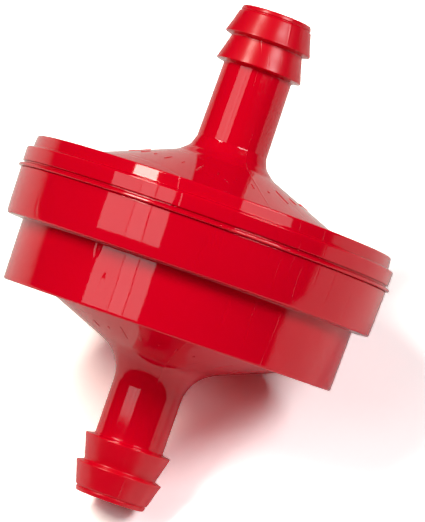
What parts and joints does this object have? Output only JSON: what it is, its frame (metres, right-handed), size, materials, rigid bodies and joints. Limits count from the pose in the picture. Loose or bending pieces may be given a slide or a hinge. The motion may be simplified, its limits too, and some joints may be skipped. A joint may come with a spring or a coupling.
{
  "type": "in-line fuel filter",
  "caption": "Round in-line fuel filter for a small engine: a stepped red housing welded at a bead, with a barbed hose nozzle on each end and a flat screen inside.",
  "frame": {"origin": "centre of the outlet nozzle's end face, the lowest point of the part", "axes": "+Z along the axis of both nozzles, from the outlet towards the inlet; fuel flows along -Z; X and Y are free, because the housing is round"},
  "size_m": [0.0412, 0.0412, 0.0539],
  "materials": {
    "housing_plastic": "glossy red moulded plastic, slightly translucent",
    "weld_plastic": "the same red plastic, melted and set in the seam",
    "frame_plastic": "satin natural moulded plastic",
    "screen_nylon": "woven nylon monofilament"
  },
  "bodies": {
    "root": {"inlet_cover": "housing_plastic", "outlet_body": "housing_plastic", "weld_bead": "weld_plastic", "screen_frame": "frame_plastic", "screen_mesh": "screen_nylon"}
  },
  "joints": []
}
